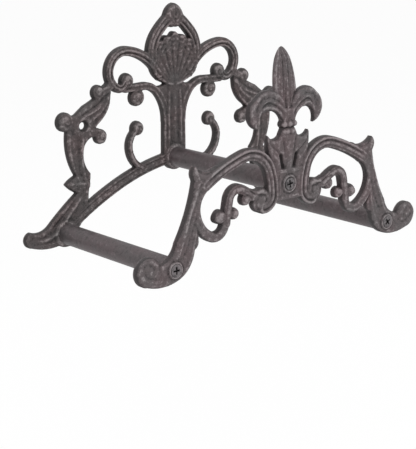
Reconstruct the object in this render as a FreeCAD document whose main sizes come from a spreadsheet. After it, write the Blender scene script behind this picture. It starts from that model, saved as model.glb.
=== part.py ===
"""Cast-iron hose hanger for a wall.

Two scrollwork castings stand parallel to the wall and are held apart by three round bars, one high in
the middle and one low on each side. A countersunk screw through each plate holds each bar end. The bars
carry the load, and the plates keep it from sliding off.

The frame: X to the right, Z up, the wall is the plane Y = 0 and the front is towards -Y. The origin is on
the wall, midway between the two wall screw holes.
"""

import FreeCAD
import Part
import Sketcher

import math
import os

from FreeCAD import Vector

doc = FreeCAD.newDocument("hose_hanger")

# Driving dimensions, in millimetres and degrees
SIZES = (
    ("wall_hole_spacing", 228, "distance between the two wall screw holes"),
    ("wall_hole_diameter", 7.5, "wall screw hole"),
    ("wall_hub_diameter", 25, "flat hub round a wall screw hole"),
    ("back_plate_width", 369, "over the two feet of the back plate"),
    ("back_plate_top", 113, "tip of the top leaf above the wall holes"),
    ("shell_base", 35, "root of the shell above the wall holes"),
    ("shell_length", 48, "longest flute of the shell, from its root"),
    ("shell_fan", 59, "angle of the outermost flute from upright"),
    ("flute_count", 7, "flutes of the shell"),
    ("plate_thickness", 8.5, "ridge of a scroll above the flat back of its plate"),
    ("web_thickness", 5, "flat parts of the arms and leaves"),
    ("leaf_thickness", 6.5, "horns and side petals of the front plate, thin scrolls of the back plate"),
    ("rib_height", 7.5, "ridge of a rib above the flat back of its plate, lower than a seat"),
    ("seat_thickness", 8, "both plates where a bar is screwed on"),
    ("front_plate_width", 362, "over the two curled feet of the front plate"),
    ("front_plate_top", 84, "tip of the fleur-de-lis above the wall holes"),
    ("collar_height", 9, "middle of the collar of the fleur-de-lis above the wall holes"),
    ("fleur_lean", 8, "angle by which the middle petal leans back to the wall"),
    ("front_band", 11.5, "width of the front plate's large scroll"),
    ("inner_band", 9, "width of the front plate's inner scroll"),
    ("loop_band", 9.5, "width of the back plate's loops"),
    ("arch_band", 7.5, "width of the pointed arch over the shell"),
    ("branch_band", 7.5, "width of the thin scrolls of the back plate"),
    ("tie_band", 12, "width of the low arch that joins the bar seats of the back plate"),
    ("side_bar_spacing", 276, "distance between the axes of the two side bars"),
    ("side_bar_drop", 104, "axis of the side bars below the wall holes"),
    ("top_bar_drop", 44.5, "axis of the top bar below the wall holes"),
    ("bar_diameter", 20.5, "spacer bars"),
    ("bar_length", 162, "spacer bars, from plate to plate"),
    ("seat_margin", 3.5, "plate round the end of a bar"),
    ("screw_diameter", 6, "screw shank"),
    ("screw_head_diameter", 12, "countersunk head"),
    ("screw_head_height", 3.2, "height of the head's cone"),
    ("screw_length", 28, "screw over all, head included"),
    ("screw_clearance", 0.2, "hole over screw, on the diameter"),
    ("tap_spare", 3, "tapped hole past the end of the screw"),
    ("recess_length", 6.4, "cross recess, over its arms"),
    ("recess_width", 1.5, "arm of the cross recess"),
    ("recess_depth", 1.8, "depth of the cross recess"),
)

sheet = doc.addObject("Spreadsheet::Sheet", "Sizes")
for row, (alias, value, meaning) in enumerate(SIZES, start=1):
    sheet.set(f"A{row}", meaning)
    sheet.set(f"B{row}", str(value))
    sheet.setAlias(f"B{row}", alias)
doc.recompute()


def size(alias):
    """The number that the sheet holds under an alias."""
    return float(sheet.get(alias))


# Places shared by the plates, the bars and the screws
SIDE_ACROSS = size("side_bar_spacing") / 2
SIDE_HEIGHT = -size("side_bar_drop")
TOP_HEIGHT = -size("top_bar_drop")
HOLE_ACROSS = size("wall_hole_spacing") / 2
PLATE = size("plate_thickness")
WEB = size("web_thickness")
LEAF = size("leaf_thickness")
SEAT = size("seat_thickness")
FRONT_BACK_FACE = -(SEAT + size("bar_length"))
SEAT_RADIUS = size("bar_diameter") / 2 + size("seat_margin")

# The low edge of a leaf with a ridge, as a share of its height
LOW_EDGE = 0.4
# What a casting is made too deep behind, and what is then ground off to a flat back
GRIND = 1


def stretch(value, drawn, wanted):
    """Moves a drawn coordinate so that the drawn fixed values land on the wanted ones.

    Between two fixed values it moves in proportion, and outside them with the nearest one.
    """
    if value <= drawn[0]:
        return wanted[0] + value - drawn[0]
    for low, high, new_low, new_high in zip(drawn, drawn[1:], wanted, wanted[1:]):
        if value <= high:
            return new_low + (value - low) * (new_high - new_low) / (high - low)
    return wanted[-1] + value - drawn[-1]


class Drawing:
    """One plate's drawing: points across from the mirror line and up from a base line.

    The fixing points and outer edges of the drawing follow the sheet, and the scrolls between them stretch.
    """

    def __init__(self, across, up, back_face):
        self.across_drawn, self.across_wanted = zip(*across)
        self.up_drawn, self.up_wanted = zip(*up)
        self.back_face = back_face

    def point(self, across, up):
        """The place of a drawn point, on the plate's flat back."""
        return Vector(
            stretch(across, self.across_drawn, self.across_wanted),
            self.back_face,
            stretch(up, self.up_drawn, self.up_wanted),
        )


BACK = Drawing(
    across=((0, 0), (114, HOLE_ACROSS), (138, SIDE_ACROSS), (184.5, size("back_plate_width") / 2)),
    up=(
        (94, SIDE_HEIGHT),
        (153.5, TOP_HEIGHT),
        (198, 0),
        (233, size("shell_base")),
        (311, size("back_plate_top")),
    ),
    back_face=0,
)
FRONT = Drawing(
    across=((0, 0), (138, SIDE_ACROSS), (181, size("front_plate_width") / 2)),
    up=(
        (94, SIDE_HEIGHT),
        (153.5, TOP_HEIGHT),
        (207, size("collar_height")),
        (282, size("front_plate_top")),
    ),
    back_face=FRONT_BACK_FACE,
)
TOWARDS_FRONT = Vector(0, -1, 0)
UPRIGHT = Vector(0, 0, 1)


def section(place, heading, half_foot, half_top, shoulder, height=PLATE):
    """The section of a scroll, as a face square to its heading.

    Its upright sides end at the shoulder, and bevels lead from there to the flat top, or to a ridge where
    the top has no width.
    """
    aside = Vector(-heading.z, 0, heading.x)
    corners = [(half_foot, -GRIND), (half_foot, shoulder), (half_top, height)]
    corners += [(-sideways, rise) for sideways, rise in reversed(corners)]
    points = [place + aside * sideways + TOWARDS_FRONT * rise for sideways, rise in corners]
    points = [point for point, after in zip(points, points[1:] + points[:1]) if point != after]
    return Part.Face(Part.makePolygon(points + points[:1]))


def scroll(drawing, start, towards, stops, width, half_top=None, shoulder=None, height=PLATE):
    """A scroll: its section carried along tangent arcs from a start through each stop.

    The first arc leaves the start in the drawn direction of the point towards. The section is square unless
    the half width of its top and the height of its shoulder are given.
    """
    half = width / 2
    if half_top is None:
        half_top = half
        shoulder = height
    place = drawing.point(*start)
    heading = (drawing.point(*towards) - place).normalize()
    spans = []
    for stop in stops:
        chord = drawing.point(*stop) - place
        along = chord.dot(heading)
        aside = chord.z * heading.x - chord.x * heading.z
        turn = 2 * math.atan2(aside, along)
        face = section(place, heading, half, half_top, shoulder, height)
        if abs(turn) < math.radians(1):
            spans.append(face.extrude(chord))
        else:
            radius = chord.Length / (2 * math.sin(turn / 2))
            centre = place + Vector(-heading.z, 0, heading.x) * radius
            spans.append(face.revolve(centre, TOWARDS_FRONT, math.degrees(turn)))
            heading = FreeCAD.Rotation(TOWARDS_FRONT, math.degrees(turn)).multVec(heading)
        place = place + chord
    return spans


def button(foot, radius, height=PLATE):
    """A round button on the plate's back."""
    return Part.makeCylinder(radius, height + GRIND, foot - TOWARDS_FRONT * GRIND, TOWARDS_FRONT)


def roundel(drawing, centre, radius):
    """The ball that ends a scroll."""
    return [button(drawing.point(*centre), radius)]


def knob(drawing, beside, across, up, radius):
    """A low round knob on a scroll, set off from a drawn point by distances that don't stretch."""
    return [button(drawing.point(*beside) + Vector(across, 0, up), radius, LEAF)]


def outline(drawing, start, runs, height=WEB):
    """A flat leaf or arm: a closed outline of lines and arcs, raised from the plate's back.

    A run is a point, for a line, or a pair of points, for an arc through the first to the second. A line
    closes the outline where the last run doesn't end at the start.
    """
    place = drawing.point(*start)
    edges = []
    last = runs[-1][-1] if isinstance(runs[-1][0], tuple) else runs[-1]
    closing = () if last == start else (start,)
    for run in runs + closing:
        if isinstance(run[0], tuple):
            through, end = (drawing.point(*spot) for spot in run)
            edges.append(Part.Arc(place, through, end).toShape())
        else:
            end = drawing.point(*run)
            edges.append(Part.LineSegment(place, end).toShape())
        place = end
    blank = Part.Face(Part.Wire(edges))
    blank.translate(TOWARDS_FRONT * -GRIND)
    return [blank.extrude(TOWARDS_FRONT * (height + GRIND))]


def rib(drawing, start, towards, stops, width):
    """A ridge along an arm: a scroll whose bevels meet, and start inside the arm."""
    return scroll(
        drawing, start, towards, stops, width, half_top=0, shoulder=WEB / 2, height=size("rib_height"),
    )


def strap(drawing, start, towards, stops, width):
    """A thin scroll, lower than the others."""
    return scroll(drawing, start, towards, stops, width, height=LEAF)


def ridged(solid, ridge_from, ridge_to, half_width):
    """A leaf cut to a roof: high along the ridge line and low at its edges."""
    edge = PLATE * LOW_EDGE
    heading = (ridge_to - ridge_from).normalize()
    aside = Vector(-heading.z, 0, heading.x)
    corners = (
        (-half_width, 0),
        (half_width, 0),
        (half_width, edge),
        (0, PLATE),
        (-half_width, edge),
    )
    points = [ridge_from + aside * sideways + TOWARDS_FRONT * rise for sideways, rise in corners]
    roof = Part.Face(Part.makePolygon(points + points[:1])).extrude(ridge_to - ridge_from)
    return solid.common(roof).Solids


def mirrored(solids):
    """The solids of one half together with their mirror image."""
    return solids + [solid.mirror(Vector(0, 0, 0), Vector(1, 0, 0)) for solid in solids]


def disc(drawing, centre, radius, height):
    """A flat round pad."""
    return [button(drawing.point(*centre), radius, height)]


def cast(label, drawing, solids, leaning=()):
    """One casting: its solids fused and ground flat behind, then fused with the parts that lean back."""
    rough = solids[0].multiFuse(solids[1:])
    around = rough.BoundBox
    margin = Vector(GRIND, 0, GRIND)
    corner = Vector(around.XMin, drawing.back_face, around.ZMin) - margin
    grinding = Part.makeBox(around.XLength + 2 * GRIND, 2 * GRIND, around.ZLength + 2 * GRIND, corner)
    ground = rough.cut(grinding)
    if leaning:
        ground = ground.multiFuse(leaning)
    casting = doc.addObject("Part::Feature", label)
    casting.Shape = ground.Solids[0] if len(ground.Solids) == 1 else ground
    return casting


# How the flutes of the shell overlap, narrow to its root and shorten to its sides
FLUTE_OVERLAP = 1.12
NARROW_SHARE = 0.3
SIDE_LOSS = 0.28


def shell():
    """The scallop shell: flutes that fan out from its root, each widening to a round end."""
    root = BACK.point(0, 233)
    count = int(size("flute_count"))
    fan = math.radians(size("shell_fan"))
    length = size("shell_length")
    step = 2 * fan / (count - 1)
    solids = outline(BACK, (12, 228), ((29, 249), ((0, 268), (-29, 249)), (-12, 228)))
    for index in range(count):
        angle = -fan + index * step
        heading = Vector(math.sin(angle), 0, math.cos(angle))
        reach = length * (1 - SIDE_LOSS * (angle / fan) ** 2)
        wide = FLUTE_OVERLAP * reach * math.tan(step / 2) / (1 + math.tan(step / 2))
        narrow = wide * NARROW_SHARE
        tip = root + heading * (reach - wide)
        near = section(root + heading * (reach * NARROW_SHARE), heading, narrow, 0, WEB / 2, height=WEB)
        far = section(tip, heading, wide, 0, WEB)
        flute = Part.makeLoft([near.OuterWire, far.OuterWire], True, True)
        solids.append(flute)
        solids.append(button(tip, wide))
    return solids


def back_half():
    """The right half of the back plate, apart from what stands on the mirror line."""
    loop = size("loop_band")
    arch = size("arch_band")
    branch = size("branch_band")
    tie = size("tie_band")
    solids = []
    solids += strap(BACK, (30, 258), (31.5, 264), ((24, 281), (8, 297)), arch)
    solids += scroll(BACK, (22, 248), (31, 259), ((60, 267), (82, 250), (72, 231), (63, 235)), loop)
    solids += disc(BACK, (60, 237), 8, LEAF)
    solids += strap(BACK, (12, 196), (12.5, 203), ((21, 222), (40, 230), (62, 229.5)), branch)
    solids += roundel(BACK, (47.5, 219.5), 9)
    solids += disc(BACK, (95, 229), 7.5, LEAF)
    solids += outline(
        BACK, (79, 234),
        (
            (90, 228),
            ((96, 219), (110, 215)),
            (125, 206),
            (127, 194),
            (104, 190),
            (96, 198),
            ((87, 206), (81, 218)),
        ),
    )
    solids += rib(BACK, (83, 228), (85, 220), ((97, 208), (108, 203)), branch)
    solids += roundel(BACK, (135, 204), 9.5)
    solids += strap(BACK, (104, 194), (97, 191), ((92, 187),), branch)
    solids += disc(BACK, (93, 185), 7.5, LEAF)
    solids += outline(
        BACK, (132, 203),
        (((132, 178), (123.5, 150)), (121, 136), (108, 136), ((109, 152), (112, 170)), (112, 194)),
    )
    solids += rib(BACK, (123, 194), (124, 182), ((121, 160), (115, 142)), branch)
    solids += outline(
        BACK, (107, 140),
        (((114, 149), (123, 150)), (135.5, 143), ((128, 134), (121, 131)), (110, 128)), height=LEAF,
    )
    solids += outline(
        BACK, (121, 134),
        (
            ((137, 119), (155, 103)),
            ((166, 98), (178, 101)),
            ((184.5, 95), (177, 85)),
            ((161, 81.5), (142, 83)),
            ((119, 100), (109, 134)),
        ),
    )
    solids += rib(BACK, (117, 134), (126, 122), ((146, 99), (174, 93)), branch)
    solids += strap(BACK, (0, 153.5), (30, 150), ((74, 133), (128, 103)), tie)
    solids += strap(BACK, (40, 146), (52, 150), ((58, 170), (49, 186)), branch)
    solids += roundel(BACK, (47.5, 188), 7.5)
    solids += disc(BACK, (114, 198), size("wall_hub_diameter") / 2, WEB)
    solids += disc(BACK, (138, 94), SEAT_RADIUS, SEAT)
    return solids


def back_plate():
    """The wall casting, before its holes are drilled."""
    stem = outline(
        BACK, (12, 236),
        (((11, 215), (16, 186)), (15, 153.5), (-15, 153.5), (-16, 186), ((-11, 215), (-12, 236))),
    )
    middle = rib(BACK, (0, 166), (0, 170), ((0, 234),), size("branch_band"))
    leaf = outline(
        BACK, (0, 288),
        (((9, 290), (10.5, 299)), ((5, 304), (0, 311)), ((-5, 304), (-10.5, 299)), ((-9, 290), (0, 288))),
        height=PLATE,
    )
    seat = disc(BACK, (0, 153.5), SEAT_RADIUS, SEAT)
    return cast("back_casting", BACK, mirrored(back_half()) + shell() + stem + middle + leaf + seat)


def front_half():
    """The right half of the front plate, apart from what stands on the mirror line."""
    large = size("front_band")
    small = size("inner_band")
    solids = []
    solids += scroll(
        FRONT, (20, 146), (20, 152),
        ((23.5, 168), (57, 186), (101, 165), (110.5, 138), (93, 117), (77.5, 131)), large,
    )
    solids += scroll(FRONT, (77.5, 129), (76.5, 136), ((74, 149), (60, 156.5), (46, 148)), small)
    solids += roundel(FRONT, (33, 143), 11.5)
    solids += scroll(FRONT, (46, 150), (42, 146), ((33, 143),), small)
    solids += disc(FRONT, (53.5, 146), 6, LEAF)
    solids += knob(FRONT, (77.5, 131), -10.5, 4, 6.5)
    solids += knob(FRONT, (77.5, 131), 9.5, 5, 6.5)
    solids += outline(
        FRONT, (95, 179),
        (((105, 177), (111.5, 185)), ((111.5, 178), (113, 171)), (104, 163)), height=LEAF,
    )
    solids += outline(
        FRONT, (104, 172),
        (
            (113, 172),
            ((120, 147), (135, 117)),
            ((143, 105), (153, 101)),
            (164, 84),
            ((150, 79.5), (135, 82.5)),
            ((121, 92), (114, 110)),
            (108, 140),
        ),
    )
    solids += rib(FRONT, (109, 172), (113, 158), ((131, 113), (150, 91), (166, 91)), small)
    solids += roundel(FRONT, (166, 97.5), 15)
    solids += disc(FRONT, (116, 108), 4.5, WEB)
    solids += outline(FRONT, (8, 184), ((20, 187), ((22, 195), (26, 201)), ((15, 198), (8, 200))))
    solids += outline(
        FRONT, (4, 222),
        (
            ((18, 245), (39, 238)),
            ((47, 224), (35, 209)),
            ((31, 222), (22, 224)),
            ((13, 221), (8, 210)),
            (4, 210),
        ),
        height=LEAF,
    )
    solids += disc(FRONT, (138, 94), SEAT_RADIUS, SEAT)
    return solids


# The two rings of the collar, and the roof that the middle petal is cut to
RING_REACH = 11.5
RING_WIDTH = 6
PETAL_HALF_WIDTH = 14


# How far the middle pad runs into the scrolls on its two sides
PAD_LAP = 0.75


def middle_pad():
    """The square pad behind the top bar's screw, as wide as the gap between the scrolls asks."""
    half = FRONT.point(20, 146).x - size("front_band") / 2 + PAD_LAP
    low = FRONT.point(0, 138.5).z
    high = FRONT.point(0, 168.5).z
    corner = Vector(-half, FRONT.back_face - SEAT, low)
    return [Part.makeBox(2 * half, SEAT + GRIND, high - low, corner)]


def front_plate():
    """The fleur-de-lis casting, before its holes are drilled."""
    pad = middle_pad()
    vase = outline(FRONT, (7, 164), (((8, 180), (12, 202)), (-12, 202), ((-8, 180), (-7, 164))))
    vase_rib = rib(FRONT, (0, 166), (0, 180), ((0, 202),), size("inner_band"))
    rings = []
    for height in (204, 210):
        rings += scroll(FRONT, (-RING_REACH, height), (0, height), ((RING_REACH, height),), RING_WIDTH)
    root = FRONT.point(0, 211)
    tip = FRONT.point(0, 282)
    leaf = outline(
        FRONT, (7, 211),
        (
            ((12, 228), (13, 246)),
            ((9, 266), (0, 282)),
            ((-9, 266), (-13, 246)),
            ((-12, 228), (-7, 211)),
        ),
        height=PLATE,
    )
    petal = ridged(leaf[0], root, tip, PETAL_HALF_WIDTH)
    for solid in petal:
        solid.rotate(root, Vector(-1, 0, 0), size("fleur_lean"))
    return cast("front_casting", FRONT, mirrored(front_half()) + pad + vase + vase_rib + rings, petal)


back_casting = back_plate()
front_casting = front_plate()
doc.recompute()


def bind(thing, **expressions):
    """Binds properties of an object to expressions over the sheet."""
    for name, expression in expressions.items():
        thing.setExpression(name.replace("__", "."), expression)


# Where the bars stand: across and up, as expressions over the sheet
BAR_PLACES = {
    "top": ("0", "-Sizes.top_bar_drop"),
    "left": ("-Sizes.side_bar_spacing / 2", "-Sizes.side_bar_drop"),
    "right": ("Sizes.side_bar_spacing / 2", "-Sizes.side_bar_drop"),
}
SHANK_HOLE_RADIUS = "(Sizes.screw_diameter + Sizes.screw_clearance) / 2"
FRONT_FACE = "-(2 * Sizes.seat_thickness + Sizes.bar_length)"
FACE_SPARE = 5
DRIVEN_BACK = FreeCAD.Rotation(Vector(1, 0, 0), -90)
DRIVEN_FORWARD = FreeCAD.Rotation(Vector(1, 0, 0), 90)


def turned(kind, name, place, depth, rotation, **expressions):
    """A cylinder or cone whose axis runs square to the plates, bound to the sheet."""
    thing = doc.addObject(kind, name)
    thing.Placement = FreeCAD.Placement(Vector(), rotation)
    across, up = place
    bind(thing, Placement__Base__x=across, Placement__Base__y=depth, Placement__Base__z=up, **expressions)
    return thing


def screw(name, place, depth, rotation):
    """A countersunk screw: a cone head on a shank, with a cross recess. It is driven along its own axis."""
    sign = "+" if rotation is DRIVEN_BACK else "-"
    head = turned(
        "Part::Cone", name + "_head", place, depth, rotation,
        Radius1="Sizes.screw_head_diameter / 2", Radius2="Sizes.screw_diameter / 2",
        Height="Sizes.screw_head_height",
    )
    shank = turned(
        "Part::Cylinder", name + "_shank", place, f"{depth} {sign} Sizes.screw_head_height", rotation,
        Radius="Sizes.screw_diameter / 2", Height="Sizes.screw_length - Sizes.screw_head_height",
    )
    across, up = place
    slots = []
    for index, (wide, tall) in enumerate((("length", "width"), ("width", "length"))):
        slot = doc.addObject("Part::Box", f"{name}_slot_{index}")
        bind(
            slot,
            Length=f"Sizes.recess_{wide}",
            Width="2 * Sizes.recess_depth",
            Height=f"Sizes.recess_{tall}",
            Placement__Base__x=f"{across} - Sizes.recess_{wide} / 2",
            Placement__Base__y=f"{depth} - Sizes.recess_depth",
            Placement__Base__z=f"{up} - Sizes.recess_{tall} / 2",
        )
        slots.append(slot)
    whole = doc.addObject("Part::Fuse", name + "_blank")
    whole.Base = head
    whole.Tool = shank
    recess = doc.addObject("Part::Fuse", name + "_recess")
    recess.Base, recess.Tool = slots
    finished = doc.addObject("Part::Cut", name)
    finished.Base = whole
    finished.Tool = recess
    return finished


def drills(name, place, face, rotation):
    """What a bar's screw takes out of a plate: the hole and its countersink."""
    hole = turned(
        "Part::Cylinder", name + "_hole", place, face, rotation,
        Radius=SHANK_HOLE_RADIUS, Height="Sizes.screw_length",
    )
    sink = turned(
        "Part::Cone", name + "_countersink", place, face, rotation,
        Radius1="(Sizes.screw_head_diameter + Sizes.screw_clearance) / 2", Radius2=SHANK_HOLE_RADIUS,
        Height="Sizes.screw_head_height",
    )
    return [hole, sink]


def drilled(label, casting, tools):
    """A casting with its holes drilled, as one sub-part."""
    gang = doc.addObject("Part::MultiFuse", label + "_drills")
    gang.Shapes = tools
    plate = doc.addObject("Part::Cut", label)
    plate.Refine = False
    plate.Base = casting
    plate.Tool = gang
    return plate


def bar(label, place):
    """A round spacer bar with a tapped hole in each end."""
    body = doc.addObject("PartDesign::Body", label)
    across, up = place
    bind(body, Placement__Base__x=across, Placement__Base__y="-Sizes.seat_thickness", Placement__Base__z=up)
    plane = next(part for part in body.Origin.OriginFeatures if part.Role == "XZ_Plane")

    def circle(name, diameter, distance=None):
        sketch = body.newObject("Sketcher::SketchObject", f"{label}_{name}")
        sketch.AttachmentSupport = [(plane, "")]
        sketch.MapMode = "FlatFace"
        sketch.addGeometry(Part.Circle(Vector(), UPRIGHT, 1), False)
        sketch.addConstraint(Sketcher.Constraint("Coincident", 0, 3, -1, 1))
        sketch.addConstraint(Sketcher.Constraint("Diameter", 0, 1))
        sketch.setExpression("Constraints[1]", diameter)
        if distance:
            sketch.setExpression("AttachmentOffset.Base.z", distance)
        return sketch

    rod = body.newObject("PartDesign::Pad", f"{label}_rod")
    rod.Profile = circle("section", "Sizes.bar_diameter")
    bind(rod, Length="Sizes.bar_length")
    tap = "Sizes.screw_diameter + Sizes.screw_clearance"
    for end, distance in (("rear", None), ("front", "Sizes.bar_length")):
        hole = body.newObject("PartDesign::Pocket", f"{label}_{end}_tap")
        hole.Profile = circle(f"{end}_tap_section", tap, distance)
        hole.Reversed = end == "rear"
        bind(hole, Length="Sizes.screw_length - Sizes.seat_thickness + Sizes.tap_spare")
        doc.recompute()
    return body


nodes = []
rear_tools = []
front_tools = []
rear_screws = []
front_screws = []
for side, place in BAR_PLACES.items():
    nodes.append(bar(f"{side}_bar", place))
    rear_screws.append(screw(f"rear_{side}_screw", place, "0", DRIVEN_FORWARD))
    front_screws.append(screw(f"front_{side}_screw", place, FRONT_FACE, DRIVEN_BACK))
    rear_tools += drills(f"rear_{side}", place, "0", DRIVEN_FORWARD)
    front_tools += drills(f"front_{side}", place, FRONT_FACE, DRIVEN_BACK)
for side, sign in (("left", "-"), ("right", "")):
    rear_tools.append(
        turned(
            "Part::Cylinder", f"{side}_wall_hole", (f"{sign}Sizes.wall_hole_spacing / 2", "0"),
            str(FACE_SPARE), DRIVEN_FORWARD,
            Radius="Sizes.wall_hole_diameter / 2", Height=f"Sizes.plate_thickness + 2 * {FACE_SPARE}",
        )
    )
nodes.append(drilled("back_plate", back_casting, rear_tools))
nodes.append(drilled("front_plate", front_casting, front_tools))
for label, members in (("front_screws", front_screws), ("rear_screws", rear_screws)):
    group = doc.addObject("Part::Compound", label)
    group.Links = members
    nodes.append(group)
doc.recompute()

for thing in doc.Objects:
    for state in ("Invalid", "Error"):
        if state in thing.State:
            raise RuntimeError(f"{thing.Label} is {state}")
for node in nodes:
    if node.Shape.isNull() or not node.Shape.isValid():
        raise RuntimeError(f"{node.Label} has no valid shape")

os.makedirs("parts", exist_ok=True)
for node in nodes:
    node.Shape.exportStep(os.path.join("parts", node.Label + ".step"))
    print(node.Label, len(node.Shape.Solids), "solids", round(node.Shape.Volume / 1000, 2), "cm3")
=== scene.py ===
"""Looks of a cast-iron hose hanger for a wall.

Two scrollwork castings, three round bars and their cross-recess screws are worked out as numpy surfaces over
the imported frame. A casting is a relief: a flat back, and a front whose height is a function of the place
across and up. Its drawing is in millimetres, across from the mirror line and up from the same base line as
the plates' own drawing, and it is turned into metres when the mesh is made.
"""

import logging
import math
from dataclasses import dataclass
from enum import Enum

import bmesh
import bpy
import numpy as np
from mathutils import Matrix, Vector


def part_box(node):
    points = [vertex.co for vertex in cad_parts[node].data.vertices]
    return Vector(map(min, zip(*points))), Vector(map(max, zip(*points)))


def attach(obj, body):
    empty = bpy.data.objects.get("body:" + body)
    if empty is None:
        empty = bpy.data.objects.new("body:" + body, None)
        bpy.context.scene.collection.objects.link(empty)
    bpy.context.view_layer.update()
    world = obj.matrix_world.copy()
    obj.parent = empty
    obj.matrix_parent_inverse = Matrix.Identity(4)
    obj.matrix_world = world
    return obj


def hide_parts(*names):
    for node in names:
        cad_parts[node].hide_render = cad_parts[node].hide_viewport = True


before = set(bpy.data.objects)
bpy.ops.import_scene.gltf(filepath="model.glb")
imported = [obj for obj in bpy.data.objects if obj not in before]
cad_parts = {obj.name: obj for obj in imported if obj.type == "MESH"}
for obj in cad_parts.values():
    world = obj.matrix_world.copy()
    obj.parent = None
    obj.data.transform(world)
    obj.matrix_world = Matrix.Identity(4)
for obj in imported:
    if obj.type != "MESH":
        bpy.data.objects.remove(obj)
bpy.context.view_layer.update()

LOG = logging.getLogger("hose_hanger")
# Per-point value that the materials turn into colour: rubbed wear with a painted highlight on ridges, and
# painted shade in hollows.
WEAR_AND_LIGHT = "wear_and_light"
Point = tuple[float, float]
Place = tuple[float, float, float]
Colour = tuple[float, float, float]
Socket = bpy.types.NodeSocket
Array = np.ndarray

# In the drawing's millimetres. The frame's origin stands at the height of the wall holes.
MM = 0.001
HOLE_LINE = 198.0
WALL_HOLE = (114.0, HOLE_LINE)
MIDDLE_SEAT = (0.0, 153.5)
SIDE_SEAT = (138.0, 94.0)
SEAT_HOLE = 6.05
BOX_ROOM = 3.0
SAME_PLACE = 1e-9

FULL_TURN = 2.0 * math.pi
GOLDEN_TURN = 2.399963
LEAST_TURN = 0.02
CAST_FOLD = 42.0
TURNED_FOLD = 35.0


def soft_max(first: Array, second: Array, fillet: float) -> Array:
    """The larger of two fields, with a rounded valley where they cross.

    Args:
        first: One field.
        second: The other field.
        fillet: Width of the rounding, in the fields' own unit.

    Returns:
        first * s + second * (1 - s) + fillet * s * (1 - s), where s runs from 0 to 1 over the rounding.
    """
    share = np.clip(0.5 + 0.5 * (first - second) / fillet, 0.0, 1.0)
    return first * share + second * (1.0 - share) + fillet * share * (1.0 - share)


def shoulder(depth: Array, radius: float, low: float, high: float) -> Array:
    """The height of a rounded edge: a quarter of an ellipse from the low wall top up to the high face.

    Args:
        depth: Distance in from the edge; negative outside, where the height falls off steeply.
        radius: How far in the rounding reaches.
        low: Height at the edge.
        high: Height from the end of the rounding on.

    Returns:
        low + (high - low) * sqrt(1 - (1 - depth / radius) ** 2), with depth held between 0 and radius.
    """
    rest = 1.0 - np.clip(depth / radius, 0.0, 1.0)
    return low + (high - low) * np.sqrt(1.0 - rest * rest) + 5.0 * np.minimum(depth, 0.0)


def bump(offset: Array, width: float) -> Array:
    """A smooth ridge of height 1: exp(-(offset / width) ** 2)."""
    return np.exp(-((offset / width) ** 2))


def smooth_step(share: Array) -> Array:
    """A soft step from 0 to 1: s * s * (3 - 2 * s), with the share s held between 0 and 1."""
    share = np.clip(share, 0.0, 1.0)
    return share * share * (3.0 - 2.0 * share)


def grain(across: Array, up: Array, pitch: float, waves: int = 5) -> Array:
    """The unevenness of a sand mould: a sum of slanted sine waves that never line up.

    Args:
        across: Points, across.
        up: Points, up.
        pitch: About the length of a wave.
        waves: How many waves are added up, each turned on by the golden angle and longer than the last.

    Returns:
        The mean of the waves, from -1 to 1.
    """
    total = np.zeros_like(across)
    for index in range(waves):
        angle = GOLDEN_TURN * index
        reach = pitch * (0.6 + 0.23 * index)
        along = (across * math.cos(angle) + up * math.sin(angle)) / reach
        total += np.sin(FULL_TURN * along + 1.7 * index + np.sin(along * 1.9))
    return total / waves


def grid_quads(rows: int, columns: int, closed: bool) -> Array:
    """The quads of a grid of points that are numbered row by row.

    Args:
        rows: Rows of points.
        columns: Points in a row.
        closed: Whether the last column joins on to the first.

    Returns:
        Four point numbers per quad: a point, the one in the next row, and the next ones after those two.
    """
    last = columns if closed else columns - 1
    row, column = np.meshgrid(np.arange(rows - 1) * columns, np.arange(last), indexing="ij")
    after = (column + 1) % columns
    corners = (row + column, row + columns + column, row + columns + after, row + after)
    return np.stack(corners, axis=-1).reshape(-1, 4)


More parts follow.
